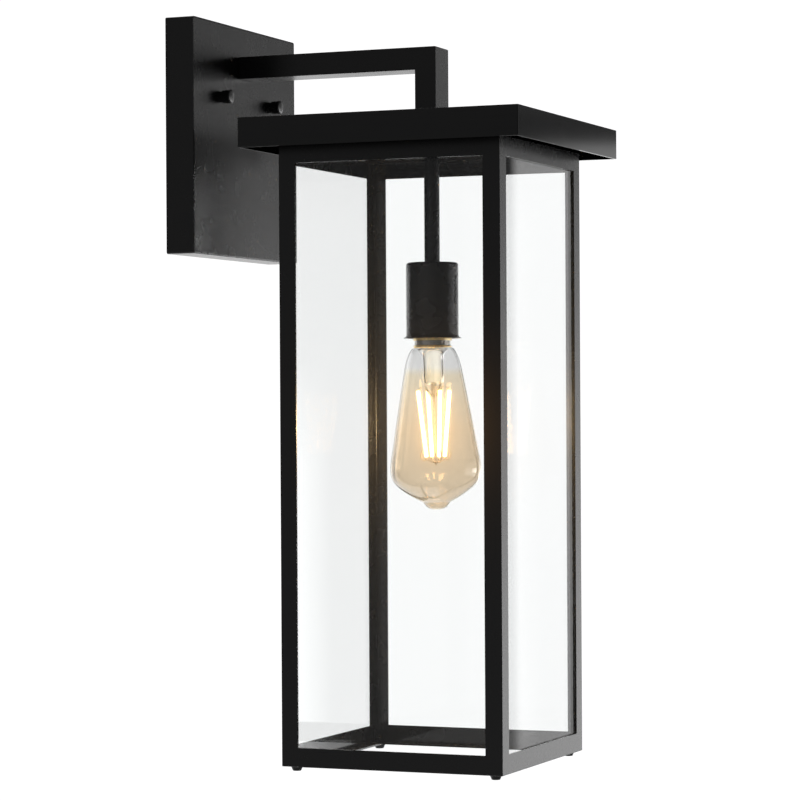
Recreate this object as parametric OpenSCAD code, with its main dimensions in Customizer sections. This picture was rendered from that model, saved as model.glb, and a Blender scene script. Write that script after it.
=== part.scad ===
// Outdoor wall lantern: a square glazed cage under a flat roof, hung from a bent arm on a
// square backplate, with one screw-in filament lamp. The origin is the centre of the
// backplate's rim, in the plane of the wall. +Z is up, -Y points away from the wall.

/* [Backplate] */
// Width of the backplate
plate_w = 171; // [150:1:200]
// Height of the backplate
plate_h = 168; // [150:1:200]
// Depth of the backplate, wall to front face
plate_d = 22; // [21:1:30]
// Height of the fixing screws above the backplate's centre
fixing_z = 30.6; // [25:0.1:31]
// Distance between the two fixing screws
fixing_spacing = 83.6; // [80:0.1:90]

/* [Arm] */
// Width of the arm's tube, along the wall
arm_w = 25; // [22:1:30]
// Thickness of the arm's tube
arm_t = 16; // [14:1:18]
// Height of the arm's top face above the backplate's centre
arm_top = 62.5; // [60:0.5:70]
// Distance from the wall to the lantern's centre line
lantern_y = 169; // [160:1:180]

/* [Roof and cage] */
// Side of the square roof
roof_w = 208; // [195:1:220]
// Height of the roof's rim
roof_h = 21; // [18:1:24]
// Height of the roof's top face above the backplate's centre
roof_top = 8.5; // [5:0.5:12]
// Side of the square cage
cage_w = 165; // [150:1:172]
// Height of the cage's top above the backplate's centre
cage_top = -10.5; // [-11.5:0.5:-9.5]
// Height of the cage's bottom above the backplate's centre
cage_bottom = -444.5; // [-480:0.5:-400]
// Width of the angle iron's flanges
angle_w = 12.5; // [12:0.5:14]
// Height of the bottom rails
bottom_rail_h = 13.5; // [12:0.5:16]
// Thickness of the sheet metal and the angle iron
sheet_t = 1.2; // [1:0.1:1.5]
// Thickness of the glass panes
glass_t = 3; // [2:0.5:4]

/* [Socket and lamp] */
// Length of the socket cup
cup_h = 54; // [50:0.5:60]
// Outer diameter of the socket cup
cup_d = 37.2; // [36:0.1:40]
// Height of the socket cup's top above the backplate's centre
cup_top = -90.5; // [-100:0.5:-85]
// Diameter of the stem tube
stem_d = 11; // [10.6:0.1:13]
// Greatest diameter of the lamp
bulb_d = 64; // [60:1:68]

/* [Hidden] */
$fn = 64;

black = "#1c1d1f";
steel = "#b9bcc0";
brass = "#c9a04a";
clear = [0.85, 0.9, 0.92, 0.35];

// Hollow threaded rods and their holes
rod_r = 4.8;
rod_bore_r = 3.2;
rod_hole_r = 4.95;
rod_nut_af = 14;
rod_nut_t = 3;

// Backplate fixings
stud_r = 2.5;
stud_hole_r = 2.55;
plate_hole_r = 2.8;
stud_tip_y = -29;
bar_l = 110;
bar_w = 20;
bar_t = 2;
slot_l = 11;
slot_w = 5;
slot_x = 31.5;
ground_x = -14;
cap_nut_l = 9.2;
cap_nut_r = 4.9;

// Arm
arm_wall = 1.5;
arm_z = arm_top - arm_t / 2;
arm_front = lantern_y + arm_t / 2;
plug_gap = 0.1;
root_plug_t = 5;
leg_plug_t = 6;

// Roof and cage
half = cage_w / 2;
inner = half - sheet_t;
roof_bottom = roof_top - roof_h;
ceiling_top = cage_top + sheet_t;
top_rail_bottom = cage_top - angle_w + 0.1;
corner_inset = 8;
corner_at = half - corner_inset;
glass_gap = 0.1;
pane_out = inner - glass_gap;
pane_in = pane_out - glass_t;
pane_bottom = cage_bottom + sheet_t + glass_gap;
pane_top = cage_top - sheet_t - 0.2;
clip_t = 0.8;
clip_h = 9;
clip_inner = half - angle_w + 0.2;

// Socket
cup_wall = 1;
cup_r = cup_d / 2;
cup_bottom = cup_top - cup_h;
lip_r = cup_r + 1.9;
rod_end = cup_top - 5.5;
body_top = cup_top - 13.5;
body_bottom = cup_bottom + 3.5;
body_r = cup_r - cup_wall - 0.2;
shell_r = 13.9;
shell_t = 0.4;
shell_bottom = cup_bottom - 1.6;
recess_top = cup_top - 22.5;
contact_z = recess_top - 4.6;

// Lamp: a 26 mm screw cap with seven turns to the inch
cap_r = 13;
cap_t = 0.4;
cap_top = recess_top - 11;
cap_bottom = cup_bottom - 5.1;
insulator_h = 4.5;
insulator_r = 10.5;
tip_r = 4.6;
tip_top = contact_z - 0.3 - 1;
collar_bottom = cap_bottom - 1.8;
bulb_r = bulb_d / 2;
bulb_t = 0.8;

// Filament cage
filament_n = 4;
filament_r = 0.9;
filament_top = collar_bottom - 31;
filament_bottom = collar_bottom - 77;
filament_top_r = 12;
filament_bottom_r = 7;
filament_turn = 43;
mount_end = collar_bottom - 34;

// Routes of the leads, wall cavity to socket
lead_r = 0.9;
lead_x = 1.4;
neutral_route = [
  [-48, -12, -8.9], [-48, -11, 4], [-42, -9, 16], [-30, -7, 32], [-16, -6, 46],
  [-6, -5.5, 53], [-2, -7.5, 54.5], [-lead_x, -11, 54.5], [-lead_x, -20, 54.5],
  [-lead_x, -50, 54.5], [-lead_x, -90, 54.5], [-lead_x, -130, 54.5], [-lead_x, -152, 54.5],
  [-lead_x, -162, 52.5], [-lead_x, -167.5, 47], [-lead_x, -169, 38], [-lead_x, -169, 20],
  [-lead_x, -169, -20], [-lead_x, -169, -60], [-lead_x, -169, -94],
  [-2.2, -169, -98], [-4.5, -169, -101], [-7.4, -169, -102.8]
];
live_route = [
  [-30, -12, -8.9], [-29.5, -11, 4], [-24, -9, 16], [-14, -7, 30], [-5, -5.5, 43],
  [0, -5.5, 50], [lead_x, -7.5, 54], [lead_x, -12, 54.5], [lead_x, -20, 54.5],
  [lead_x, -50, 54.5], [lead_x, -90, 54.5], [lead_x, -130, 54.5], [lead_x, -152, 54.5],
  [lead_x, -162, 52.5], [lead_x, -167.5, 47], [lead_x, -169, 38], [lead_x, -169, 20],
  [lead_x, -169, -20], [lead_x, -169, -60], [lead_x, -169, -94],
  [2.2, -169, -98], [4.5, -169, -101], [7.4, -169, -102.8]
];
ground_route = [
  [-12, -12, -8.9], [-12, -11.5, 0], [-12.5, -9, 10], [-13.5, -6, 18], [-14, -4.4, 23.5]
];
connector_x = [-48, -30, -12];

// Point on a cubic curve
function bezier(a, b, c, d, t) =
  pow(1 - t, 3) * a + 3 * pow(1 - t, 2) * t * b + 3 * (1 - t) * t * t * c + t * t * t * d;

function unit(v) = v / norm(v);

function tangent(p, i) = unit(p[min(i + 1, len(p) - 1)] - p[max(i - 1, 0)]);

// Unit vectors across a path, each carried on from the one before without twisting
function normals(p, i = 0, n = [0.3, 0.1, 0.9]) =
  i == len(p) ? [] :
  let (t = tangent(p, i), m = unit(n - (n * t) * t)) concat([m], normals(p, i + 1, m));

// Round section of radius r swept along the points p
module sweep(p, r, sides = 8) {
  n = normals(p);
  last = len(p) - 1;
  ring_points = [
    for (i = [0 : last]) let (t = tangent(p, i), a = n[i], b = cross(t, a))
    for (k = [0 : sides - 1]) p[i] + r * (cos(360 * k / sides) * a + sin(360 * k / sides) * b)
  ];
  walls = [
    for (i = [0 : last - 1]) for (k = [0 : sides - 1]) let (next = (k + 1) % sides)
    [i * sides + k, (i + 1) * sides + k, (i + 1) * sides + next, i * sides + next]
  ];
  start_cap = [for (k = [0 : sides - 1]) k];
  end_cap = [for (k = [sides - 1 : -1 : 0]) last * sides + k];
  polyhedron(points = ring_points, faces = concat([start_cap], walls, [end_cap]));
}

// Puts children at the lantern's vertical axis
module at_axis() {
  translate([0, -lantern_y, 0]) children();
}

// Mirrors children from the right-hand rear corner into another corner
module corner(sx, sy) {
  mirror([sx < 0 ? 1 : 0, 0, 0]) mirror([0, sy < 0 ? 1 : 0, 0]) children();
}

module four_corners() {
  for (sx = [-1, 1]) for (sy = [-1, 1]) corner(sx, sy) children();
}

// Box given by its low and high corners
module block(low, high) {
  translate(low) cube(high - low);
}

// Cylinder pointing away from the wall, from y_back to y_front
module out_cylinder(x, z, r, y_back, y_front) {
  translate([x, y_back, z]) rotate([90, 0, 0]) cylinder(h = y_back - y_front, r = r);
}

// Hexagonal nut standing on z = 0, with a round hole
module hex_nut(af, h, hole_r) {
  difference() {
    cylinder(h = h, r = af / sqrt(3), $fn = 6);
    translate([0, 0, -1]) cylinder(h = h + 2, r = hole_r);
  }
}

module ring(r_out, r_in, low, high) {
  difference() {
    translate([0, 0, low]) cylinder(h = high - low, r = r_out);
    translate([0, 0, low - 1]) cylinder(h = high - low + 2, r = r_in);
  }
}

// ---- Backplate and its fixings ----

module backplate() color(black) {
  w = plate_w / 2;
  h = plate_h / 2;
  difference() {
    block([-w, -plate_d, -h], [w, 0, h]);
    block([-w + sheet_t, -plate_d + sheet_t, -h + sheet_t], [w - sheet_t, 1, h - sheet_t]);
    for (x = [-1, 1] * fixing_spacing / 2)
      out_cylinder(x, fixing_z, plate_hole_r, 1, -plate_d - 1);
    out_cylinder(0, arm_z, rod_hole_r, 1, -plate_d - 1);
  }
}

module wall_gasket() color("#3a3b3d") {
  w = plate_w / 2 - sheet_t - 0.1;
  h = plate_h / 2 - sheet_t - 0.1;
  band = 6;
  thick = 3;
  difference() {
    block([-w, -thick, -h], [w, 0, h]);
    block([-w + band, -thick - 1, -h + band], [w - band, 1, h - band]);
  }
}

module crossbar() color(steel) {
  difference() {
    block([-bar_l / 2, -bar_t, fixing_z - bar_w / 2], [bar_l / 2, 0, fixing_z + bar_w / 2]);
    for (x = [-1, 1] * fixing_spacing / 2)
      out_cylinder(x, fixing_z, stud_hole_r, 1, -bar_t - 1);
    out_cylinder(ground_x, fixing_z, 2.05, 1, -bar_t - 1);
    for (x = [-1, 1] * slot_x) {
      reach = (slot_l - slot_w) / 2;
      out_cylinder(x - reach, fixing_z, slot_w / 2, 1, -bar_t - 1);
      out_cylinder(x + reach, fixing_z, slot_w / 2, 1, -bar_t - 1);
      block([x - reach, -bar_t - 1, fixing_z - slot_w / 2], [x + reach, 1, fixing_z + slot_w / 2]);
    }
  }
}

module mounting_studs() color(steel) {
  for (x = [-1, 1] * fixing_spacing / 2)
    out_cylinder(x, fixing_z, stud_r, 0, stud_tip_y);
}

module stud_locknuts() color(steel) {
  for (x = [-1, 1] * fixing_spacing / 2)
    translate([x, -bar_t, fixing_z]) rotate([90, 0, 0]) hex_nut(8, 3.2, stud_hole_r);
}

// Round thumb nuts: a narrow neck, a knurled body that swells to its end and a domed face
module cap_nuts() color(black) {
  hole_l = -stud_tip_y - plate_d + 0.5;
  for (x = [-1, 1] * fixing_spacing / 2)
    translate([x, -plate_d, fixing_z]) rotate([90, 0, 0]) difference() {
      rotate_extrude() polygon([
        [0, 0], [cap_nut_r - 1, 0], [cap_nut_r - 1, 1.2], [cap_nut_r - 0.3, 2],
        [cap_nut_r - 0.2, 6.5], [cap_nut_r, 8], [cap_nut_r - 0.5, 8.7], [0, cap_nut_l]
      ]);
      translate([0, 0, -1]) cylinder(h = hole_l + 1, r = stud_hole_r);
    }
}

module ground_screw() color("#2f8a4a") {
  translate([ground_x, 0, fixing_z]) rotate([90, 0, 0]) {
    cylinder(h = bar_t, r = 2);
    translate([0, 0, bar_t]) cylinder(h = 0.8, r = 4.6);
    translate([0, 0, bar_t + 0.8]) cylinder(h = 2.6, r = 7 / sqrt(3), $fn = 6);
  }
}

// ---- Arm ----

// Keeps the half of its children on the arm's side of the mitre, or on the leg's side
module mitre(keep_bar) {
  side = 400;
  intersection() {
    children();
    translate([-side / 2, -arm_front, arm_top]) rotate([45, 0, 0])
      translate([0, keep_bar ? 0 : -side, -side / 2]) cube(side);
  }
}

module arm_bar() color(black) {
  x = arm_w / 2;
  mitre(true) difference() {
    block([-x, -arm_front, arm_top - arm_t], [x, -plate_d, arm_top]);
    block([-x + arm_wall, -arm_front + arm_wall, arm_top - arm_t + arm_wall],
          [x - arm_wall, -plate_d + 1, arm_top - arm_wall]);
  }
}

module arm_leg() color(black) {
  x = arm_w / 2;
  mitre(false) difference() {
    block([-x, -arm_front, roof_top], [x, -arm_front + arm_t, arm_top]);
    block([-x + arm_wall, -arm_front + arm_wall, roof_top - 1],
          [x - arm_wall, -arm_front + arm_t - arm_wall, arm_top - arm_wall]);
  }
}

module arm_root_plug() color(steel) {
  x = arm_w / 2 - arm_wall - plug_gap;
  z = arm_t / 2 - arm_wall - plug_gap;
  difference() {
    block([-x, -plate_d - root_plug_t, arm_z - z], [x, -plate_d, arm_z + z]);
    out_cylinder(0, arm_z, rod_hole_r, 1, -plate_d - root_plug_t - 1);
  }
}

module arm_nipple() color(steel) {
  back = -plate_d + 7.5;
  difference() {
    out_cylinder(0, arm_z, rod_r, back, -plate_d - root_plug_t - 1);
    out_cylinder(0, arm_z, rod_bore_r, back + 1, -plate_d - root_plug_t - 2);
  }
}

module arm_lockwasher() color(steel) {
  back = -plate_d + sheet_t + 1;
  difference() {
    out_cylinder(0, arm_z, 7.5, back, back - 1);
    out_cylinder(0, arm_z, rod_hole_r, back + 1, back - 2);
  }
}

module arm_locknut() color(steel) {
  translate([0, -plate_d + sheet_t + 1 + rod_nut_t, arm_z]) rotate([90, 0, 0])
    hex_nut(rod_nut_af, rod_nut_t, rod_hole_r);
}

module leg_plug() color(steel) {
  x = arm_w / 2 - arm_wall - plug_gap;
  y = arm_t / 2 - arm_wall - plug_gap;
  at_axis() difference() {
    block([-x, -y, roof_top], [x, y, roof_top + leg_plug_t]);
    translate([0, 0, roof_top - 1]) cylinder(h = leg_plug_t + 2, r = rod_hole_r);
  }
}

// ---- Roof ----

module roof_pan() color(black) {
  r = roof_w / 2;
  at_axis() difference() {
    block([-r, -r, roof_bottom], [r, r, roof_top]);
    block([-r + sheet_t, -r + sheet_t, roof_bottom - 1],
          [r - sheet_t, r - sheet_t, roof_top - sheet_t]);
    translate([0, 0, roof_top - sheet_t - 1]) cylinder(h = sheet_t + 2, r = rod_hole_r);
  }
}

module roof_spacer() color(steel) {
  at_axis() ring(8, rod_hole_r, ceiling_top, roof_top - sheet_t);
}

module ceiling_plate() color(black) {
  at_axis() difference() {
    block([-half, -half, cage_top], [half, half, ceiling_top]);
    translate([0, 0, cage_top - 1]) cylinder(h = sheet_t + 2, r = rod_hole_r);
    four_corners() translate([corner_at, corner_at, cage_top - 1])
      cylinder(h = sheet_t + 2, r = 1.6);
  }
}

module ceiling_screws() color(black) {
  at_axis() four_corners() translate([corner_at, corner_at, 0]) {
    translate([0, 0, ceiling_top - 6]) cylinder(h = 6, r = 1.5);
    translate([0, 0, ceiling_top]) rotate_extrude()
      polygon([[0, 0], [2.8, 0], [2.7, 1.2], [1.6, 1.9], [0, 2]]);
  }
}

// ---- Cage ----

module angle_post(sx, sy) color(black) {
  at_axis() corner(sx, sy) translate([0, 0, cage_bottom])
    linear_extrude(height = cage_top - cage_bottom) polygon([
      [half, half], [half - angle_w, half], [half - angle_w, inner],
      [inner, inner], [inner, half - angle_w], [half, half - angle_w]
    ]);
}

// Angle rail along the rear side: an upright flange between the posts, and a level flange
// that is as long as reach allows. level is the underside of the level flange.
module angle_rail(low, high, level, reach) {
  block([-half + angle_w, inner, low], [half - angle_w, half, high]);
  block([-reach, half - angle_w, level], [reach, inner, level + sheet_t]);
}

// The side rails' level flanges run through to the corners and take the corner screws
module side_rail(sx, low, high, level) color(black) {
  at_axis() rotate([0, 0, sx * -90]) difference() {
    angle_rail(low, high, level, inner);
    for (x = [-corner_at, corner_at]) translate([x, corner_at, level - 1])
      cylinder(h = sheet_t + 2, r = 1.6);
  }
}

module cross_rail(sy, low, high, level) color(black) {
  at_axis() corner(1, sy) angle_rail(low, high, level, half - angle_w);
}

module bottom_side_rail(sx) {
  side_rail(sx, cage_bottom, cage_bottom + bottom_rail_h, cage_bottom);
}

module bottom_cross_rail(sy) {
  cross_rail(sy, cage_bottom, cage_bottom + bottom_rail_h, cage_bottom);
}

module top_side_rail(sx) {
  side_rail(sx, top_rail_bottom, cage_top, cage_top - sheet_t);
}

module top_cross_rail(sy) {
  cross_rail(sy, top_rail_bottom, cage_top, cage_top - sheet_t);
}

// The front and rear panes run the full width; the side panes stand between them
module cross_pane(sy) color(clear) {
  at_axis() corner(1, sy)
    block([-pane_out, pane_in, pane_bottom], [pane_out, pane_out, pane_top]);
}

module side_pane(sx) color(clear) {
  reach = pane_in - glass_gap;
  at_axis() corner(sx, 1)
    block([pane_in, -reach, pane_bottom], [pane_out, reach, pane_top]);
}

// Spring corners that press the panes outwards, tapped for the corner screws
module glass_clips() color(black) {
  out = pane_in - 0.2;
  floor_z = cage_bottom + sheet_t;
  at_axis() four_corners() difference() {
    union() {
      block([clip_inner, clip_inner, floor_z], [out, out, floor_z + clip_t]);
      block([out - clip_t, clip_inner, floor_z], [out, out, floor_z + clip_h]);
      block([clip_inner, out - clip_t, floor_z], [out, out, floor_z + clip_h]);
    }
    translate([corner_at, corner_at, floor_z - 1]) cylinder(h = clip_t + 2, r = 1.5);
  }
}

// Cone-headed screws under the cage's corners, which it also stands on
module corner_screws() color(black) {
  head_h = 3.4;
  at_axis() four_corners() translate([corner_at, corner_at, cage_bottom]) {
    translate([0, 0, -head_h]) cylinder(h = head_h, r1 = 3.1, r2 = 4.4);
    cylinder(h = 4.5, r = 1.45);
  }
}

// ---- Stem and socket ----

module stem_rod() color(steel) {
  at_axis() ring(rod_r, rod_bore_r, rod_end, roof_top + leg_plug_t + 1.5);
}

module stem_tube() color(black) {
  at_axis() ring(stem_d / 2, rod_hole_r, cup_top, cage_top);
}

// Spun cup with a rounded shoulder and a thin flared lip round its mouth
module socket_cup() color(black) {
  shoulder = 2;
  lip_t = 0.5;
  lip_h = 1.9;
  arc_steps = 5;
  r = cup_r;
  outer_shoulder = [
    for (i = [0 : arc_steps]) let (a = 90 - 90 * i / arc_steps)
    [r - shoulder + shoulder * cos(a), cup_top - shoulder + shoulder * sin(a)]
  ];
  outer_lip = [
    for (i = [0 : arc_steps]) let (a = 180 + 90 * i / arc_steps)
    [lip_r + (lip_r - r) * cos(a), cup_bottom + lip_t + lip_h + lip_h * sin(a)]
  ];
  inner_r = r - cup_wall;
  inner_top = cup_top - cup_wall;
  at_axis() rotate_extrude() polygon(concat(
    [[rod_hole_r, cup_top]], outer_shoulder, outer_lip,
    [[lip_r, cup_bottom], [inner_r + 0.6, cup_bottom], [inner_r, cup_bottom + 1.6],
     [inner_r, inner_top], [rod_hole_r, inner_top]]
  ));
}

module socket_locknut() color(steel) {
  at_axis() translate([0, 0, cup_top - cup_wall - rod_nut_t])
    hex_nut(rod_nut_af, rod_nut_t, rod_hole_r);
}

module socket_body() color("#e9e6df") {
  at_axis() difference() {
    translate([0, 0, body_bottom]) cylinder(h = body_top - body_bottom, r = body_r);
    translate([0, 0, body_bottom - 1])
      cylinder(h = recess_top - body_bottom + 1, r = shell_r + 0.15);
  }
}

// Screw shell of the socket, whose end shows just below the cup's mouth
module socket_shell() color(brass) {
  at_axis() ring(shell_r, shell_r - shell_t, shell_bottom, recess_top - 2);
}

// Bent strip: flat on the recess floor, down one side and across under the lamp's tip
module socket_contact() color(brass) {
  t = 0.6;
  w = 6;
  z = recess_top;
  foot = 7;
  pad = 3.5;
  at_axis() translate([0, w / 2, 0]) rotate([90, 0, 0]) linear_extrude(height = w) polygon([
    [-foot, z], [foot, z], [foot, z - t], [-foot + 1, z - t], [-pad, contact_z + t],
    [pad, contact_z + t], [pad, contact_z], [-pad - t / 2, contact_z], [-foot, z - t]
  ]);
}

module terminal_screws() color(brass) {
  at_axis() for (x = [-10.5, 10.5]) translate([x, 0, body_top]) cylinder(h = 2.4, r = 2.6);
}

// ---- Wiring ----

module lead_live() color("#161616") sweep(live_route, lead_r);
module lead_neutral() color("#e8e8e4") sweep(neutral_route, lead_r);
module lead_ground() color("#2f8a4a") sweep(ground_route, lead_r);

// Twist-on connectors for the three house wires
module wire_connectors() color("#d8762a") {
  for (x = connector_x) translate([x, -12, -31]) rotate_extrude()
    polygon([[0, 0], [3.6, 0], [4.2, 1], [5, 15], [5.8, 17], [5.8, 22], [0, 22]]);
}

// ---- Lamp ----

module bulb_cap() color(steel) {
  at_axis() ring(cap_r, cap_r - cap_t, cap_bottom, cap_top);
}

module bulb_insulator() color("#2b2b2d") {
  at_axis() rotate_extrude() polygon([
    [0, cap_top + 0.1], [cap_r - cap_t - 0.4, cap_top + 0.1],
    [insulator_r, cap_top + 1.2], [tip_r + 0.6, cap_top + insulator_h],
    [0, cap_top + insulator_h]
  ]);
}

module bulb_contact() color(steel) {
  base = cap_top + insulator_h;
  at_axis() rotate_extrude() polygon([
    [0, base], [tip_r, base], [tip_r - 0.4, tip_top + 0.2], [2.6, tip_top + 1], [0, tip_top + 1]
  ]);
}

// Rolled ring where the cap meets the glass
module bulb_collar() color(brass) {
  at_axis() ring(cap_r + 0.6, cap_r - cap_t, collar_bottom, cap_bottom);
}

// Curves of the glass's half outline, from its neck over shoulder and belly to its blunt tip,
// as radius and drop below the neck
bulb_arcs = [
  [[13.9, 0], [16.6, 3.2], [18.6, 8.2], [20, 15.5]],
  [[20, 15.5], [21.4, 22.8], [27, 54], [29.6, 70]],
  [[29.6, 70], [31.2, 79], [32, 82], [32, 86.5]],
  [[32, 86.5], [32, 91.5], [30.4, 94.8], [27, 98.2]],
  [[27, 98.2], [23.6, 101.6], [15, 107.4], [9.6, 109.6]],
  [[9.6, 109.6], [8, 110.4], [7.8, 115], [0.4, 115]]
];

function bulb_curve(steps) = concat(
  [for (c = bulb_arcs) for (i = [0 : steps - 1]) bezier(c[0], c[1], c[2], c[3], i / steps)],
  [bulb_arcs[5][3]]
);

// Points of an outline moved inwards by d, square to the outline
function inset(p, d) = [
  for (i = [0 : len(p) - 1]) let (t = tangent(p, i)) p[i] + d * [-t[1], t[0]]
];

module bulb_glass() color(clear) {
  k = bulb_r / 32;
  outer = [for (q = bulb_curve(6)) [k * q[0], -q[1]]];
  inside = inset(outer, -bulb_t);
  last = len(outer) - 1;
  at_axis() translate([0, 0, collar_bottom]) rotate_extrude() polygon(concat(
    outer, [[0, outer[last][1]]],
    [[0, inside[last][1]]], [for (i = [last : -1 : 1]) inside[i]], [[inside[0][0], 0]]
  ));
}

// Pressed glass mount that carries the filament cage
module bulb_mount() color(clear) {
  at_axis() rotate_extrude() polygon([
    [0, collar_bottom - 0.2], [11.5, collar_bottom - 0.2], [10.6, collar_bottom - 1],
    [8, collar_bottom - 3.5], [7, collar_bottom - 7], [7.1, collar_bottom - 20],
    [6.8, collar_bottom - 24], [5.8, collar_bottom - 28], [4.2, collar_bottom - 31.5],
    [2.6, mount_end], [0, mount_end - 1]
  ]);
}

function filament_end(i, r, z) =
  let (a = filament_turn + 360 * i / filament_n) [r * cos(a), r * sin(a), z];

// Round bar between two points
module bar(a, b, r) {
  d = b - a;
  translate(a) rotate([0, acos(d[2] / norm(d)), atan2(d[1], d[0])]) cylinder(h = norm(d), r = r);
}

module bulb_filaments() color("#ffd58a") {
  at_axis() for (i = [0 : filament_n - 1])
    bar(filament_end(i, filament_top_r, filament_top),
        filament_end(i, filament_bottom_r, filament_bottom), filament_r);
}

// Glass bead of radius r centred at height z, with a wire to one end of each filament
module wire_star(z, r, end_r, end_z) {
  wire_r = 0.35;
  translate([0, 0, z - r / 2]) cylinder(h = r, r = r);
  for (i = [0 : filament_n - 1])
    bar(filament_end(i, r / 2, z), filament_end(i, end_r, end_z), wire_r);
}

// One star under the mount for the filaments' upper ends, one below for their lower ends
module bulb_supports() color(steel) {
  gap = 1.1;
  at_axis() {
    wire_star(mount_end - 2.2, 2, filament_top_r, filament_top + gap);
    wire_star(filament_bottom - 2.2, 1.6, filament_bottom_r, filament_bottom - gap);
  }
}

// Small driver board inside the cap
module bulb_driver() color("#2e6b3c") {
  z = cap_bottom + 1;
  at_axis() {
    block([-9, -0.6, z], [9, 0.6, cap_top - 1.5]);
    translate([0, -3.6, z + 4]) cylinder(h = 9, r = 3);
  }
}

backplate();
wall_gasket();
crossbar();
mounting_studs();
stud_locknuts();
cap_nuts();
ground_screw();
arm_bar();
arm_leg();
arm_root_plug();
arm_nipple();
arm_lockwasher();
arm_locknut();
leg_plug();
roof_pan();
roof_spacer();
ceiling_plate();
ceiling_screws();
angle_post(-1, -1);  // post_front_left
angle_post(1, -1);  // post_front_right
angle_post(-1, 1);  // post_rear_left
angle_post(1, 1);  // post_rear_right
top_cross_rail(-1);  // top_rail_front
top_cross_rail(1);  // top_rail_rear
top_side_rail(-1);  // top_rail_left
top_side_rail(1);  // top_rail_right
bottom_cross_rail(-1);  // bottom_rail_front
bottom_cross_rail(1);  // bottom_rail_rear
bottom_side_rail(-1);  // bottom_rail_left
bottom_side_rail(1);  // bottom_rail_right
cross_pane(-1);  // pane_front
cross_pane(1);  // pane_rear
side_pane(-1);  // pane_left
side_pane(1);  // pane_right
glass_clips();
corner_screws();
stem_rod();
stem_tube();
socket_cup();
socket_locknut();
socket_body();
socket_shell();
socket_contact();
terminal_screws();
lead_live();
lead_neutral();
lead_ground();
wire_connectors();
bulb_cap();
bulb_insulator();
bulb_contact();
bulb_collar();
bulb_glass();
bulb_mount();
bulb_supports();
bulb_filaments();
bulb_driver();
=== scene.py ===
import math

import bmesh
import bpy
from mathutils import Matrix, Vector


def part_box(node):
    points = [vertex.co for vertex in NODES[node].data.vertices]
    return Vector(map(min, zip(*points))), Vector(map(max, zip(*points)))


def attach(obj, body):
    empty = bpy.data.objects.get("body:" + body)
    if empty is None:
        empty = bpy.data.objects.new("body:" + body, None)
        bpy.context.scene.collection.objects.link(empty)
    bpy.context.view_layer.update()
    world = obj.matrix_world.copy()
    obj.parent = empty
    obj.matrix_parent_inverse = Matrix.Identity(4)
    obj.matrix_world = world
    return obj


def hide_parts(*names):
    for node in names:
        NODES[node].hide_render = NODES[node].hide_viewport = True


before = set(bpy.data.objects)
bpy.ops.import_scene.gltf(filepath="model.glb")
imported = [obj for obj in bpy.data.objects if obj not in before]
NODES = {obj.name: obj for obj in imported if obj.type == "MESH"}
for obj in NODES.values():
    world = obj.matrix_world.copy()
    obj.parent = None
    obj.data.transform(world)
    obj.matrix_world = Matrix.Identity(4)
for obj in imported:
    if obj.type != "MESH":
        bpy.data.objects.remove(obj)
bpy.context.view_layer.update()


# ---- Measures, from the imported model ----

def centre(node):
    low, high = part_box(node)
    return (low + high) / 2


def radius(node):
    low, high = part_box(node)
    return (high.x - low.x) / 2


AXIS = Vector((centre("stem_tube").x, centre("stem_tube").y, 0))
CAGE = (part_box("post_front_left")[0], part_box("post_rear_right")[1])
CAP_LOW, CAP_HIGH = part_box("bulb_cap")
NECK_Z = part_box("bulb_glass")[1].z
TIP_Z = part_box("bulb_glass")[0].z
MM = 0.001
GRAIN = 0.1 * MM


# ---- Material nodes ----

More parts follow.
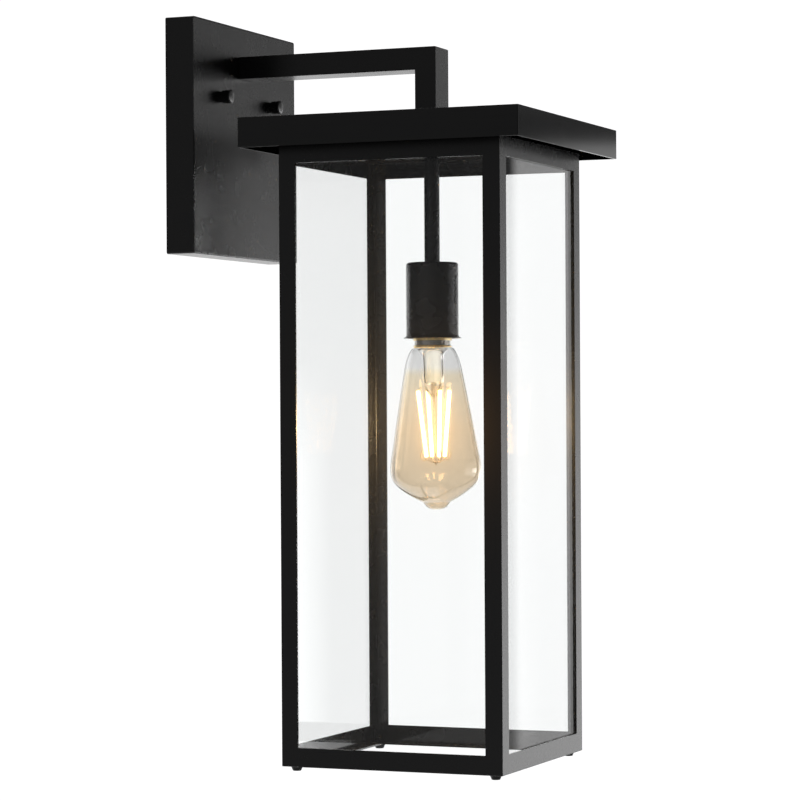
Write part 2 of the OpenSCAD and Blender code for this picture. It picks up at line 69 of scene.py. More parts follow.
class Shader:
    """A Principled material with the node recipes that this scene uses."""

    def __init__(self, name, colour=None, **sockets):
        self.material = bpy.data.materials.new(name)
        self.material.use_nodes = True
        self.tree = self.material.node_tree
        self.bsdf = self.tree.nodes["Principled BSDF"]
        self.coords = self.tree.nodes.new("ShaderNodeTexCoord").outputs["Object"]
        if colour:
            self.bsdf.inputs["Base Color"].default_value = (*colour, 1)
        for key, value in sockets.items():
            socket = self.bsdf.inputs[key.replace("_", " ")]
            socket.default_value = (*value, 1) if isinstance(value, tuple) else value

    def add(self, kind, **properties):
        node = self.tree.nodes.new(kind)
        for key, value in properties.items():
            setattr(node, key, value)
        return node

    def link(self, a, b):
        self.tree.links.new(a, b)

    def noise(self, scale, detail=2.0, stretch=(1, 1, 1)):
        mapping = self.add("ShaderNodeMapping")
        mapping.inputs["Scale"].default_value = stretch
        texture = self.add("ShaderNodeTexNoise")
        texture.inputs["Scale"].default_value = scale
        texture.inputs["Detail"].default_value = detail
        self.link(self.coords, mapping.inputs["Vector"])
        self.link(mapping.outputs["Vector"], texture.inputs["Vector"])
        return texture.outputs["Fac"]

    def height(self, low, high):
        """0 at height low and 1 at height high, in the object's own coordinates."""
        split = self.add("ShaderNodeSeparateXYZ")
        self.link(self.coords, split.inputs["Vector"])
        return self.ranged(split.outputs["Z"], low, high, 0, 1)

    def ranged(self, source, low, high, to_low, to_high):
        node = self.add("ShaderNodeMapRange")
        for key, value in (("From Min", low), ("From Max", high),
                           ("To Min", to_low), ("To Max", to_high)):
            node.inputs[key].default_value = value
        self.link(source, node.inputs["Value"])
        return node.outputs["Result"]

    def blend(self, factor, stops):
        ramp = self.add("ShaderNodeValToRGB").color_ramp
        node = self.tree.nodes[-1]
        while len(ramp.elements) < len(stops):
            ramp.elements.new(0.5)
        for element, (place, colour) in zip(ramp.elements, stops):
            element.position = place
            element.color = (*colour, 1)
        self.link(factor, node.inputs["Fac"])
        return node.outputs["Color"]

    def colours(self, factor, stops):
        self.link(self.blend(factor, stops), self.bsdf.inputs["Base Color"])

    def roughness(self, factor, low, high):
        self.link(self.ranged(factor, 0.3, 0.7, low, high), self.bsdf.inputs["Roughness"])

    def bump(self, *layers):
        """layers are (height output, strength, distance in metres), coarse ones first."""
        normal = None
        for source, strength, distance in layers:
            node = self.add("ShaderNodeBump")
            node.inputs["Strength"].default_value = strength
            node.inputs["Distance"].default_value = distance
            self.link(source, node.inputs["Height"])
            if normal:
                self.link(normal, node.inputs["Normal"])
            normal = node.outputs["Normal"]
        self.link(normal, self.bsdf.inputs["Normal"])


def powder_coat(name, smoothest, roughest, grain):
    """Satin black, with the fine grain that baked powder has."""
    s = Shader(name, Specular_IOR_Level=0.50)
    s.colours(s.noise(22, 3), [(0.3, (0.0058, 0.0058, 0.0061)), (0.7, (0.0076, 0.0076, 0.0079))])
    s.roughness(s.noise(60, 2), smoothest, roughest)
    s.bump((s.noise(1500, 2), grain, GRAIN))
    return s.material


def metal(name, dark, light, rough, grain=(1, 1, 1)):
    s = Shader(name, Metallic=1.0)
    s.colours(s.noise(180, 4, grain), [(0.3, dark), (0.7, light)])
    s.roughness(s.noise(420, 3, grain), rough * 0.8, rough * 1.25)
    s.bump((s.noise(900, 2, grain), 0.08, GRAIN))
    return s.material


def plastic(name, dark, light, rough, grain=900):
    s = Shader(name)
    s.colours(s.noise(150, 3), [(0.3, dark), (0.7, light)])
    s.roughness(s.noise(300, 2), rough * 0.85, rough * 1.15)
    s.bump((s.noise(grain, 2), 0.10, GRAIN))
    return s.material


def foam():
    s = Shader("gasket_foam", Specular_IOR_Level=0.2)
    cells = s.add("ShaderNodeTexVoronoi")
    cells.inputs["Scale"].default_value = 1600
    s.link(s.coords, cells.inputs["Vector"])
    s.colours(cells.outputs["Distance"],
              [(0.0, (0.012, 0.012, 0.013)), (0.6, (0.05, 0.05, 0.053))])
    s.roughness(s.noise(300), 0.85, 0.98)
    s.bump((cells.outputs["Distance"], 0.6, 4 * GRAIN))
    return s.material


def pane_glass():
    """Clear float glass with a trace of green."""
    s = Shader("pane_glass", Transmission_Weight=1.0, IOR=1.40, Roughness=0.0)
    s.colours(s.noise(6, 2), [(0.3, (0.975, 0.985, 0.983)), (0.7, (0.985, 0.992, 0.990))])
    return s.material


def bulb_glass():
    """Clear at the neck, with an amber cast from the shoulder down."""
    s = Shader("amber_glass", Transmission_Weight=1.0, IOR=1.45, Roughness=0.0)
    clear, pale = (0.88, 0.88, 0.88), (0.89, 0.84, 0.74)
    amber, deep = (0.90, 0.80, 0.66), (0.86, 0.77, 0.64)
    s.colours(s.height(NECK_Z, TIP_Z), [(0.0, clear), (0.12, clear), (0.17, pale), (0.5, amber),
                                        (0.72, deep), (1.0, deep)])
    return s.material


def mount_glass_painted_glow():
    """Clear, with a weak warm emission in stretched noise: painted glow that stands in for the
    strips' light shining through it.
    """
    s = Shader("mount_glass_painted_glow", Transmission_Weight=1.0, IOR=1.3, Roughness=0.0)
    s.colours(s.noise(120), [(0.3, (0.97, 0.955, 0.90)), (0.7, (0.99, 0.98, 0.94))])
    # Painted glow: this noise sets a warm emission colour and strength in place of light from the
    # strips.
    painted_glow_streaks = s.noise(260, 2, (1, 1, 0.12))
    s.link(s.blend(painted_glow_streaks, [(0.35, (0.9, 0.62, 0.30)), (0.62, (1.0, 0.92, 0.75))]),
           s.bsdf.inputs["Emission Color"])
    s.link(s.ranged(painted_glow_streaks, 0.45, 0.72, 0.02, 0.16), s.bsdf.inputs["Emission Strength"])
    s.bump((s.noise(260, 2, (1, 1, 0.25)), 0.35, 6 * GRAIN))
    return s.material


def filament_glow():
    """Phosphor over a row of chips, which glow a little brighter than the gaps."""
    s = Shader("lit_filament", (1.0, 0.72, 0.35), Roughness=0.5)
    chips = s.add("ShaderNodeTexWave", bands_direction="Z")
    chips.inputs["Scale"].default_value = 90
    s.link(s.coords, chips.inputs["Vector"])
    s.link(s.blend(chips.outputs["Fac"], [(0.0, (1.0, 0.60, 0.25)), (1.0, (1.0, 0.74, 0.42))]),
           s.bsdf.inputs["Emission Color"])
    s.link(s.ranged(chips.outputs["Fac"], 0, 1, 380, 560), s.bsdf.inputs["Emission Strength"])
    return s.material


COAT = powder_coat("black_powder_coat", 0.26, 0.28, 0.02)
ROOF_COAT = powder_coat("roof_powder_coat", 0.06, 0.065, 0.004)
ZINC = metal("zinc_plate", (0.50, 0.51, 0.53), (0.63, 0.64, 0.67), 0.30)
NICKEL = metal("nickel", (0.36, 0.33, 0.30), (0.56, 0.52, 0.47), 0.22)
BRASS = metal("brass", (0.66, 0.45, 0.17), (0.83, 0.60, 0.26), 0.26)
# A lighter copy of brass: partly the collar's own gilt colour, pushed lighter, partly painted
# light on the brass screw shell in the cup's shade.
GILT_AND_LIT_BRASS = metal("gilt_and_lit_brass", (0.90, 0.70, 0.34), (1.0, 0.84, 0.50), 0.34)
SUPPORT_WIRE = metal("support_wire", (0.45, 0.42, 0.38), (0.60, 0.57, 0.52), 0.30)
GREEN_PAINT = plastic("green_screw", (0.01, 0.14, 0.04), (0.02, 0.21, 0.06), 0.35)
PORCELAIN = plastic("porcelain", (0.74, 0.72, 0.67), (0.82, 0.80, 0.75), 0.22, 500)
BLACK_GLASS = plastic("black_glass", (0.012, 0.012, 0.014), (0.022, 0.022, 0.025), 0.12)
BOARD = plastic("driver_board", (0.015, 0.10, 0.035), (0.025, 0.15, 0.05), 0.40)
LEAD_BLACK = plastic("lead_black", (0.010, 0.010, 0.010), (0.018, 0.018, 0.018), 0.42)
LEAD_WHITE = plastic("lead_white", (0.66, 0.66, 0.63), (0.76, 0.76, 0.73), 0.42)
LEAD_GREEN = plastic("lead_green", (0.012, 0.16, 0.045), (0.020, 0.22, 0.065), 0.42)
CONNECTOR = plastic("connector_plastic", (0.62, 0.19, 0.035), (0.74, 0.25, 0.055), 0.45)
FOAM = foam()
PANE = pane_glass()
AMBER = bulb_glass()
MOUNT_GLASS_PAINTED_GLOW = mount_glass_painted_glow()
GLOW = filament_glow()


def finish(node, material):
    mesh = NODES[node].data
    mesh.materials.clear()
    mesh.materials.append(material)


# ---- Carried-over CAD nodes ----

ON_PLANE = 1e-5
WELD_GAP = 1e-6
SHARP_ANGLE = math.radians(40)
PRESSED_EDGE = 1.5 * MM
FOLDED_EDGE = 0.8 * MM
TUBE_EDGE = 0.7 * MM
ANGLE_IRON_EDGE = 0.5 * MM
GLASS_EDGE = 0.25 * MM


def is_on(point, plane):
    axis, value = plane
    return abs(point[axis] - value) < ON_PLANE


def round_edges(node, width, planes, segments=3):
    """Rounds the edges where two of the planes meet, each given as (axis, value)."""
    obj = NODES[node]
    mesh = obj.data
    weights = mesh.attributes.new("bevel_weight_edge", "FLOAT", "EDGE")
    for edge in mesh.edges:
        ends = [mesh.vertices[i].co for i in edge.vertices]
        shared = [p for p in planes if all(is_on(e, p) for e in ends)]
        weights.data[edge.index].value = 1.0 if len(shared) >= 2 else 0.0
    soften(obj, width, segments)


def soften(obj, width, segments):
    """Bevels the weighted edges and shades the faces between them flat."""
    for name in ("custom_normal", "sharp_edge", "sharp_face"):
        attribute = obj.data.attributes.get(name)
        if attribute:
            obj.data.attributes.remove(attribute)
    weld = obj.modifiers.new("weld", "WELD")
    weld.merge_threshold = WELD_GAP
    bevel = obj.modifiers.new("bevel", "BEVEL")
    bevel.width = width
    bevel.segments = segments
    bevel.limit_method = "WEIGHT"
    split = obj.modifiers.new("split", "EDGE_SPLIT")
    split.split_angle = SHARP_ANGLE
    split.use_edge_sharp = False
    normals = obj.modifiers.new("normals", "WEIGHTED_NORMAL")
    normals.keep_sharp = True


def box_planes(low, high):
    return [(axis, end[axis]) for axis in range(3) for end in (low, high)]


# Each pan keeps the square edges of its open face: the wall side, and the roof's underside
OPEN_BACK = (1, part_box("backplate")[1].y)
OPEN_BELOW = (2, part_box("roof_pan")[0].z)
for node, width, coat, opening in (("backplate", PRESSED_EDGE, COAT, OPEN_BACK),
                                   ("roof_pan", FOLDED_EDGE, ROOF_COAT, OPEN_BELOW)):
    round_edges(node, width, [face for face in box_planes(*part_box(node)) if face != opening])
    finish(node, coat)

for node in NODES:
    if node.startswith(("post_", "top_rail_", "bottom_rail_")):
        round_edges(node, ANGLE_IRON_EDGE, box_planes(*CAGE))
        finish(node, COAT)

for node in ("arm_bar", "arm_leg"):
    round_edges(node, TUBE_EDGE, box_planes(*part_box(node)))

SLOTS = {
    COAT: ["arm_bar", "arm_leg", "ceiling_plate", "ceiling_screws", "glass_clips",
           "stem_tube", "socket_cup"],
    ZINC: ["crossbar", "mounting_studs", "stud_locknuts", "arm_root_plug", "arm_nipple",
           "arm_lockwasher", "arm_locknut", "leg_plug", "roof_spacer", "stem_rod",
           "socket_locknut"],
    BRASS: ["socket_contact", "terminal_screws"],
    NICKEL: ["bulb_contact"],
    PORCELAIN: ["socket_body"],
    BLACK_GLASS: ["bulb_insulator"],
    BOARD: ["bulb_driver"],
    FOAM: ["wall_gasket"],
    GREEN_PAINT: ["ground_screw"],
    LEAD_BLACK: ["lead_live"],
    LEAD_WHITE: ["lead_neutral"],
    LEAD_GREEN: ["lead_ground"],
    PANE: ["pane_front", "pane_rear", "pane_left", "pane_right"],
}
for material, nodes in SLOTS.items():
    for node in nodes:
        finish(node, material)


# ---- Pieces made here in place of plain CAD ones ----

class Shape:
    """Collects the faces of one piece, in millimetres about the lantern's axis."""

    def __init__(self):
        self.points = []
        self.faces = []

    def revolve(self, profile, sides=96, warp=None, place=Matrix()):
        """Closed outline of (radius, height) turned about Z. warp(r, z, angle) gives a new r."""
        rows = []
        for r, z in profile:
            row = []
            for k in range(1 if r < 1e-6 else sides):
                angle = 2 * math.pi * k / sides
                rr = warp(r, z, angle) if warp and r > 1e-6 else r
                row.append(len(self.points))
                self.points.append(place @ Vector((rr * math.cos(angle), rr * math.sin(angle), z)))
            rows.append(row)
        for a, b in zip(rows, rows[1:] + rows[:1]):
            self.band(a, b)
        return self

    def band(self, a, b):
        n = max(len(a), len(b))
        if n == 1:
            return
        for k in range(n):
            m = (k + 1) % n
            face = [a[k % len(a)], a[m % len(a)], b[m % len(b)], b[k % len(b)]]
            face = [v for i, v in enumerate(face) if v not in face[:i]]
            self.faces.append(face)

    def tube(self, path, radius, sides=10):
        """Round wire along a path, with domed ends."""
        path = [Vector(p) for p in path]
        first, last = path[0] - path[1], path[-1] - path[-2]
        rings = [(path[0] + first.normalized() * radius * 0.5, 0.6, first)]
        rings += [(p, 1.0, path[max(i - 1, 0)] - path[min(i + 1, len(path) - 1)])
                  for i, p in enumerate(path)]
        rings += [(path[-1] + last.normalized() * radius * 0.5, 0.6, -last)]
        across = Vector((0.31, 0.17, 0.94))
        rows = []
        for point, share, along in rings:
            along = along.normalized()
            across = (across - across.dot(along) * along).normalized()
            other = along.cross(across)
            row = []
            for k in range(sides):
                angle = 2 * math.pi * k / sides
                row.append(len(self.points))
                self.points.append(point + radius * share * (math.cos(angle) * across
                                                             + math.sin(angle) * other))
            rows.append(row)
        for a, b in zip(rows, rows[1:]):
            self.band(a, b)
        self.faces += [rows[0], rows[-1]]
        return self

    def build(self, name, material, slot, body, *nodes, place=Matrix(), sharp=40):
        mesh = bpy.data.meshes.new(name)
        to_metres = Matrix.Translation(AXIS) @ Matrix.Scale(MM, 4) @ place
        mesh.from_pydata([to_metres @ p for p in self.points], [], self.faces)
        bm = bmesh.new()
        bm.from_mesh(mesh)
        bmesh.ops.recalc_face_normals(bm, faces=bm.faces)
        bm.to_mesh(mesh)
        bm.free()
        mesh.polygons.foreach_set("use_smooth", [True] * len(mesh.polygons))
        mesh.materials.append(material)
        obj = bpy.data.objects.new(name, mesh)
        bpy.context.scene.collection.objects.link(obj)
        split = obj.modifiers.new("split", "EDGE_SPLIT")
        split.split_angle = math.radians(sharp)
        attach(obj, body)
        if nodes:
            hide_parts(*nodes)
        return obj


def smooth(low, high, x):
    t = min(1.0, max(0.0, (x - low) / (high - low)))
    return t * t * (3 - 2 * t)


def curve(arcs, steps):
    """Points along cubic arcs, each given by its four (radius, drop) points."""
    points = []
    for a, b, c, d in arcs:
        for i in range(steps):
            t = i / steps
            weights = ((1 - t) ** 3, 3 * (1 - t) ** 2 * t, 3 * (1 - t) * t * t, t ** 3)
            points.append(tuple(sum(w * p[axis] for w, p in zip(weights, (a, b, c, d)))
                                for axis in (0, 1)))
    return points + [arcs[-1][3]]


def inset(points, distance):
    """The outline moved inwards, square to itself."""
    moved = []
    for i, (r, z) in enumerate(points):
        before, after = points[max(i - 1, 0)], points[min(i + 1, len(points) - 1)]
        dr, dz = after[0] - before[0], after[1] - before[1]
        length = math.hypot(dr, dz)
        moved.append((r + distance * dz / length, z - distance * dr / length))
    return moved


def steps(low, high, pitch):
    count = max(1, round((high - low) / pitch))
    return [low + (high - low) * i / count for i in range(count + 1)]


def refined(profile, parts):
    """The profile with each stretch cut into parts, and its last point left off."""
    fine = []
    for (r0, z0), (r1, z1) in zip(profile, profile[1:]):
        fine += [(r0 + (r1 - r0) * t / parts, z0 + (z1 - z0) * t / parts) for t in range(parts)]
    return fine


# The screw of a 26 mm lamp cap, in millimetres: seven right-hand turns to the inch
PITCH = 25.4 / 7
THREAD = 0.40
STEP = PITCH / 14
CAP_SHEET = 0.3
SKIRT_H = 3.4
SKIRT_RIBS = 28
SHELL_SHEET = 0.35
SHELL_GAP = 0.28
SHELL_MOUTH = 0.52


def thread(z, angle):
    return THREAD * math.cos(2 * math.pi * z / PITCH - angle)


def screw_cap():
    """Pressed nickel screw with a ribbed skirt."""
    low, high, r = CAP_LOW.z / MM, CAP_HIGH.z / MM, radius("bulb_cap") / MM
    skirt = low + SKIRT_H
    mean = r - THREAD - 0.02

    def press(radius, z, angle):
        share = smooth(skirt, skirt + 1.5, z) * (1 - smooth(high - 2, high - 0.6, z))
        rib = 0.12 * math.cos(SKIRT_RIBS * angle) * (1 - smooth(skirt - 0.6, skirt, z))
        return radius + share * thread(z, angle) + rib * smooth(low, low + 0.5, z)

    heights = steps(low, high, STEP)
    wall = [(mean + 0.1 - 0.7 * smooth(high - 1.4, high, z), z) for z in heights]
    inner = [(q - CAP_SHEET, z) for q, z in reversed(wall)]
    Shape().revolve(wall + inner, 112, press).build(
        "lamp_screw_cap", NICKEL, "nickel", "bulb", "bulb_cap", sharp=60)


def screw_shell():
    """Rolled brass shell whose thread takes the lamp's, with a plain mouth, in the lighter gilt
    finish: painted light on a shell that sits in the cup's shade.
    """
    low, high = (v.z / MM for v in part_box("socket_shell"))
    mean = radius("bulb_cap") / MM - THREAD + SHELL_GAP

    def roll(radius, z, angle):
        share = smooth(low + 1.6, low + 4.5, z) * (1 - smooth(high - 2, high - 0.5, z))
        return radius + share * thread(z, angle) + SHELL_MOUTH * (1 - share)

    heights = steps(low, high, STEP)
    inner = [(mean, z) for z in heights]
    outer = [(mean + SHELL_SHEET, z) for z in reversed(heights)]
    Shape().revolve(inner + outer, 96, roll).build(
        "socket_screw_shell", GILT_AND_LIT_BRASS, "brass", "lantern", "socket_shell", sharp=60)


def collar():
    """Gilt bead between the cap and the glass."""
    low, high = (v.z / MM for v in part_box("bulb_collar"))
    r = radius("bulb_collar") / MM
    middle, half = (low + high) / 2, (high - low) / 2
    bead = [(r - 0.5 + 0.5 * math.cos(a), middle + half * math.sin(a))
            for a in (math.radians(d) for d in range(-90, 91, 15))]
    Shape().revolve(bead + [(r - 1, high), (r - 1, low)]).build(
        "lamp_collar", GILT_AND_LIT_BRASS, "brass", "bulb", "bulb_collar")


# The glass stands a little askew in its cap, as blown lamps do
LEAN_ANGLE = math.radians(-1.3)
LEAN_AXIS = Vector((0.922, 0.387, 0))
LEAN = (Matrix.Translation((0, 0, NECK_Z / MM)) @ Matrix.Rotation(LEAN_ANGLE, 4, LEAN_AXIS)
        @ Matrix.Translation((0, 0, -NECK_Z / MM)))

# The envelope's outline from the neck to the tip, as cubic arcs of (radius, drop) points
GLASS_WALL = 0.6
ENVELOPE = [
    ((13.9, 0), (16.6, 3.2), (18.6, 8.2), (20, 15.5)),
    ((20, 15.5), (21.4, 22.8), (27, 54), (29.6, 70)),
    ((29.6, 70), (31.2, 79), (32, 82), (32, 86.5)),
    ((32, 86.5), (32, 91.5), (30.4, 94.8), (27, 98.2)),
    ((27, 98.2), (23.6, 101.6), (15, 107.4), (9.6, 109.6)),
    ((9.6, 109.6), (8, 110.4), (7.8, 115), (0.4, 115)),
]


def envelope():
    """Blown glass, thin at the belly, with a sealed nipple."""
    neck = NECK_Z / MM
    outer = [(r, neck - drop) for r, drop in curve(ENVELOPE, 14)]
    outer[-1] = (0, outer[-1][1])
    inner = inset(outer, -GLASS_WALL)
    inner[0] = (inner[0][0], neck)
    inner[-1] = (0, inner[-2][1])
    obj = Shape().revolve(outer + inner[::-1], 128).build(
        "lamp_envelope", AMBER, "bulb_glass", "bulb", "bulb_glass", place=LEAN, sharp=70)
    obj.visible_shadow = False


def mount():
    """Flared glass tube, pinched at its lower end."""
    neck = NECK_Z / MM
    arcs = [((11.5, 0.2), (8.5, 1.6), (7.2, 4), (7, 8)),
            ((7, 8), (7, 14), (7.2, 18), (6.9, 23)),
            ((6.9, 23), (6.6, 27.5), (5, 30.5), (2.6, 34))]
    outer = [(r, neck - drop) for r, drop in curve(arcs, 8)]
    hollow = [q for q in inset(outer, -0.7) if q[1] > neck - 25]
    profile = outer + [(0, outer[-1][1] - 0.6), (0, hollow[-1][1] - 1.5)] + hollow[::-1]
    obj = Shape().revolve(profile, 64).build(
        "lamp_mount", MOUNT_GLASS_PAINTED_GLOW, "bulb_glass", "bulb", "bulb_mount", place=LEAN, sharp=60)
    obj.visible_shadow = False


# The four lit strips: the first one's heading, and how far their ends stand from the axis
FIRST_STRIP = 43
UPPER_OUT, LOWER_OUT = 12, 7
STRIP_R, WIRE_R, HOOK_R, TIE_R = 1.45, 0.28, 0.36, 0.45


def filament_ends():
    """Each strip's direction out, upper end and lower end, about the axis, in millimetres."""
    low, high = (v.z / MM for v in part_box("bulb_filaments"))
    for k in range(4):
        angle = math.radians(FIRST_STRIP + 90 * k)
        out = Vector((math.cos(angle), math.sin(angle), 0))
        yield out, out * UPPER_OUT + Vector((0, 0, high)), out * LOWER_OUT + Vector((0, 0, low))


def filaments():
    """Strips that draw together downwards, and the bent wires at both of their ends."""
    strips, wires = Shape(), Shape()
    top = NECK_Z / MM - 33.5
    for out, upper, lower in filament_ends():
        strips.tube([upper.lerp(lower, t / 12) for t in range(13)], STRIP_R, 16)
        up = Vector((0, 0, 1))
        wires.tube([out * 1.2 + up * (top + 9), out * 1.4 + up * top, out * 3 + up * (top - 1.4),
                    out * 7 + up * (upper.z + 3.4), out * 10 + up * (upper.z + 2.6),
                    upper + up * 1.0], WIRE_R)
        wires.tube([lower - up * 0.6, lower - up * 2.2 + out * 0.4, lower - up * 2.9 + out * 1.6,
                    lower - up * 2.4 + out * 3.0, lower - up * 0.9 + out * 4.0,
                    lower + up * 1.2 + out * 4.2, lower + up * 3.0 + out * 3.5,
                    lower + up * 4.0 + out * 2.5], HOOK_R)
        wires.tube([lower - up * 0.8, lower - up * 2.4 - out * 0.8, lower - up * 4.2 - out * 3.6,
                    Vector((0, 0, lower.z - 5.0)) + out * 0.4], WIRE_R)
    wires.tube([Vector((0, 0, top - 0.4)), Vector((0, 0, lower.z - 6.4))], TIE_R)
    strips.build("lamp_filaments", GLOW, "filament", "bulb", "bulb_filaments",
                 place=LEAN, sharp=80)
    wires.build("lamp_wires", SUPPORT_WIRE, "nickel", "bulb", "bulb_supports",
                place=LEAN, sharp=80)


def thumb_nuts():
    """Straight-knurled nuts on a narrow neck, with a shallow dome."""
    nuts, ribs = Shape(), 26
    low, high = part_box("cap_nuts")
    profile = [(2.55, 0), (3.9, 0), (3.9, 1.3), (4.5, 1.9), (4.62, 2.3), (4.7, 6.6), (4.9, 7.9),
               (4.75, 8.4), (4.3, 8.75), (3.2, 8.95), (0, 9.2), (0, 7.5), (2.55, 7.5)]

    def knurl(r, z, angle):
        depth = 0.16 * smooth(1.9, 2.5, z) * (1 - smooth(7.7, 8.2, z))
        return r - depth * (1 + math.cos(ribs * angle)) / 2 if r > 4.4 else r

    outwards = Matrix.Rotation(math.pi / 2, 4, "X")
    half = (high.z - low.z) / 2
    for x in (low.x + half, high.x - half):
        at = Vector((x, high.y, (low.z + high.z) / 2)) - AXIS
        nuts.revolve(refined(profile, 4), 4 * ribs, knurl, Matrix.Translation(at / MM) @ outwards)
    nuts.build("thumb_nuts", COAT, "black_coat", "lantern", "cap_nuts", sharp=35)


def foot_screws():
    """Cone-headed screws with a hexagon recess in the foot."""
    screws = Shape()
    low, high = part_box("corner_screws")
    head_r, recess_r = 4.4, 1.6
    half = ((high.x - low.x) / 2) / MM - head_r

    def hexagon(r, z, angle):
        if r > recess_r:
            return r
        turn = (angle + math.pi / 6) % (math.pi / 3) - math.pi / 6
        return r * 0.92 / math.cos(turn)

    profile = [(0, 1.9), (1.5, 1.6), (1.5, 0), (2.6, 0), (2.95, 0.1), (3.1, 0.4), (4.3, 3.1),
               (head_r, 3.3), (4.3, 3.4), (1.65, 3.4), (1.65, 7.9), (0, 7.9)]
    for x in (-half, half):
        for y in (-half, half):
            screws.revolve(profile, 72, hexagon, Matrix.Translation((x, y, low.z / MM)))
    screws.build("foot_screws", COAT, "black_coat", "lantern", "corner_screws", sharp=30)


CONNECTOR_XS = (-48, -30, -12)


def connectors():
    """Fluted twist-on connectors."""
    caps, flutes = Shape(), 12
    low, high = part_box("wire_connectors")
    profile = [(0, 0), (3.4, 0), (4.1, 0.8), (4.3, 2), (5, 15), (5.75, 16.6), (5.8, 17.2),
               (5.8, 21.4), (5.5, 22), (4.9, 22), (4.7, 19), (0, 19)]

    def flute(r, z, angle):
        share = smooth(1.5, 3, z) * (1 - smooth(14, 16, z))
        return r - 0.35 * share * (1 + math.cos(flutes * angle)) / 2 if r > 3.8 else r

    for x in CONNECTOR_XS:
        at = Vector((x, (low.y + high.y) / 2 / MM - AXIS.y / MM, low.z / MM))
        caps.revolve(refined(profile, 3), 8 * flutes, flute, Matrix.Translation(at))
    caps.build("twist_connectors", CONNECTOR, "connector_plastic", "lantern", "wire_connectors")


screw_cap()
screw_shell()
collar()
envelope()
mount()
filaments()
thumb_nuts()
foot_screws()
connectors()

for node in ("pane_front", "pane_rear", "pane_left", "pane_right"):
    round_edges(node, GLASS_EDGE, box_planes(*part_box(node)), 1)


# ---- Studio ----

WHITE = 1.075
DIM = 0.08
FLOOR_Z = -2.4
FLOOR_HALF = 60

# Soft patches of light round the lantern: headings, elevations and softness in degrees, and
# the strength at the heights in STRENGTH_AT. A heading runs from +Y, the wall, towards +X.
STRENGTH_AT = (-6, 5)
PATCHES = [
    ((8, 79), (-90, 65), 4.0, 1.05, 1.05),
    ((79, 108), (-12, 5.18), 0.08, 2.1, 0.7),
    ((108, 110.4), (-12, 5.18), 0.08, 0.74, 0.80),
    ((79, 110.4), (-90, -12), 1.0, 0.4, 0.4),
    ((79, 110.4), (6.6, 12), 0.8, 0.8, 0.8),
    ((110.4, 116), (-90, 4), 0.5, 0.35, 0.15),
    ((115, 142), (-9, 0), 1.0, 2.8, 2.8),
    ((116, 168), (-20, 9), 1.5, 1.4, 0.35),
    ((-100, -35), (-40, 40), 18, 0.19, 0.10),
    ((-180, 180), (-90, -25), 12, 0.2, 0.2),
]


def studio_world():
    """The light that the lantern reflects: a white sweep behind it and on its right."""
    world = bpy.data.worlds.new("studio")
    bpy.context.scene.world = world
    world.use_nodes = True
    tree = world.node_tree

    def node(kind, *values, **properties):
        made = tree.nodes.new(kind)
        for key, value in properties.items():
            setattr(made, key, value)
        for socket, value in zip(made.inputs, values):
            if isinstance(value, (int, float)):
                socket.default_value = value
            else:
                tree.links.new(value, socket)
        return made.outputs[0]

    def math_node(operation, *values):
        return node("ShaderNodeMath", *values, operation=operation)

    def window(value, low, high, soft):
        rise = node("ShaderNodeMapRange", value, low - soft, low + soft)
        fall = node("ShaderNodeMapRange", value, high - soft, high + soft, 1, 0)
        return math_node("MULTIPLY", rise, fall)

    direction = tree.nodes.new("ShaderNodeTexCoord").outputs["Generated"]
    axes = tree.nodes.new("ShaderNodeSeparateXYZ")
    tree.links.new(direction, axes.inputs[0])
    x, y, z = axes.outputs
    degrees = 180 / math.pi
    heading = math_node("MULTIPLY", math_node("ARCTAN2", x, y), degrees)
    elevation = math_node("MULTIPLY", math_node("ARCSINE", z), degrees)

    total = DIM
    for headings, elevations, soft, low_strength, high_strength in PATCHES:
        patch = math_node("MULTIPLY", window(heading, *headings, soft),
                          window(elevation, *elevations, soft))
        strength = node("ShaderNodeMapRange", elevation, *STRENGTH_AT, low_strength,
                        high_strength)
        total = math_node("MULTIPLY_ADD", patch, strength, total)

    # Seen directly or through glass the studio is plain white, whichever way one looks
    path = tree.nodes.new("ShaderNodeLightPath").outputs
    straight = math_node("ADD", path["Is Camera Ray"], path["Is Transmission Ray"])
    bounced = math_node("ADD", path["Glossy Depth"], path["Diffuse Depth"])
    plain = math_node("MULTIPLY", straight, math_node("LESS_THAN", bounced, 0.5))
    shown = node("ShaderNodeMapRange", plain, 0, 1, total, WHITE)
    tree.links.new(shown, tree.nodes["Background"].inputs["Strength"])
    tree.nodes["Background"].inputs["Color"].default_value = (1, 1, 1, 1)


def floor():
    """Pale floor far below the lantern, which only the camera sees."""
    s = Shader("pale_floor", Roughness=0.9, Emission_Color=(1.0, 1.0, 1.0),
               Emission_Strength=WHITE - 0.03)
    s.colours(s.noise(3), [(0.3, (0.10, 0.10, 0.10)), (0.7, (0.11, 0.11, 0.11))])
    mesh = bpy.data.meshes.new("floor")
    corners = ((-1, -1), (1, -1), (1, 1), (-1, 1))
    mesh.from_pydata([(FLOOR_HALF * x, FLOOR_HALF * y, FLOOR_Z) for x, y in corners],
                     [], [(0, 1, 2, 3)])
    mesh.materials.append(s.material)
    obj = bpy.data.objects.new("floor", mesh)
    bpy.context.scene.collection.objects.link(obj)
    obj.visible_glossy = False
    obj.visible_diffuse = False
    obj.visible_transmission = False
    obj.visible_shadow = False


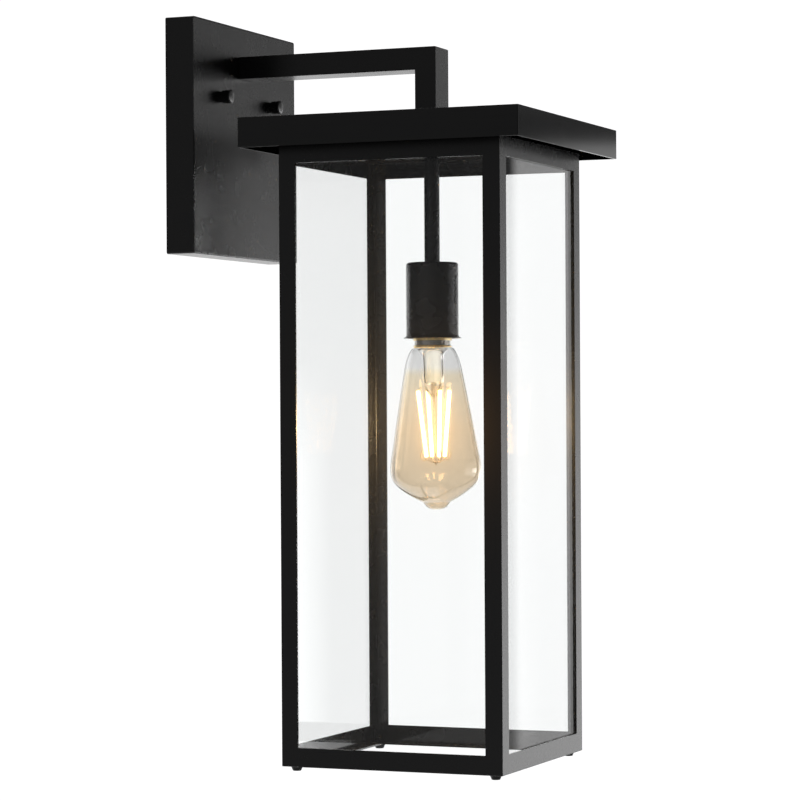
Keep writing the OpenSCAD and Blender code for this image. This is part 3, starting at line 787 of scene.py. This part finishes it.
def lamp_light():
    """Carries the strips' warm light through the panes to the angle iron round them."""
    data = bpy.data.lights.new("lamp_light", "POINT")
    data.energy = 2.0
    data.color = (1.0, 0.68, 0.33)
    data.shadow_soft_size = 0.012
    data.use_shadow = False
    obj = bpy.data.objects.new("lamp_light", data)
    bpy.context.scene.collection.objects.link(obj)
    obj.location = centre("bulb_filaments")
    lit = bpy.data.collections.new("lit_by_lamp")
    for node in NODES:
        if node.startswith(("post_", "bottom_rail_")):
            lit.objects.link(NODES[node])
    obj.light_linking.receiver_collection = lit


studio_world()
floor()
lamp_light()


# ---- Camera ----

CAMERA_AT = (-1.94701, -0.95491, -0.19747)
HEADING = math.radians(67.2435)
TILT = math.radians(-0.206)
ROLL = math.radians(-0.315)
LENS, SENSOR = 132.257, 36
SHIFT = (0.0078, 0.02916)


def camera():
    data = bpy.data.cameras.new("camera")
    data.lens = LENS
    data.sensor_width = SENSOR
    data.shift_x, data.shift_y = SHIFT
    data.clip_start = 0.01
    obj = bpy.data.objects.new("camera", data)
    bpy.context.scene.collection.objects.link(obj)
    turn = (Matrix.Rotation(-HEADING, 4, "Z") @ Matrix.Rotation(math.pi / 2 + TILT, 4, "X")
            @ Matrix.Rotation(ROLL, 4, "Z"))
    obj.matrix_world = Matrix.Translation(CAMERA_AT) @ turn
    bpy.context.scene.camera = obj


def glow():
    """The halo that the lit strips make in a camera's lens."""
    scene = bpy.context.scene
    scene.use_nodes = True
    tree = scene.node_tree
    tree.nodes.clear()
    picture = tree.nodes.new("CompositorNodeRLayers")
    glare = tree.nodes.new("CompositorNodeGlare")
    out = tree.nodes.new("CompositorNodeComposite")
    glare.glare_type = "BLOOM"
    for key, value in (("Threshold", 1.8), ("Clamp", True), ("Maximum", 20.0), ("Strength", 0.55),
                       ("Size", 0.3), ("Tint", (1.0, 0.86, 0.5, 1.0))):
        glare.inputs[key].default_value = value
    tree.links.new(picture.outputs["Image"], glare.inputs["Image"])
    tree.links.new(glare.outputs["Image"], out.inputs["Image"])


camera()
glow()
bpy.context.scene.view_settings.view_transform = "Standard"
cycles = bpy.context.scene.cycles
cycles.sample_clamp_indirect = 4.0
cycles.use_denoising = True
cycles.denoising_input_passes = "RGB_ALBEDO"
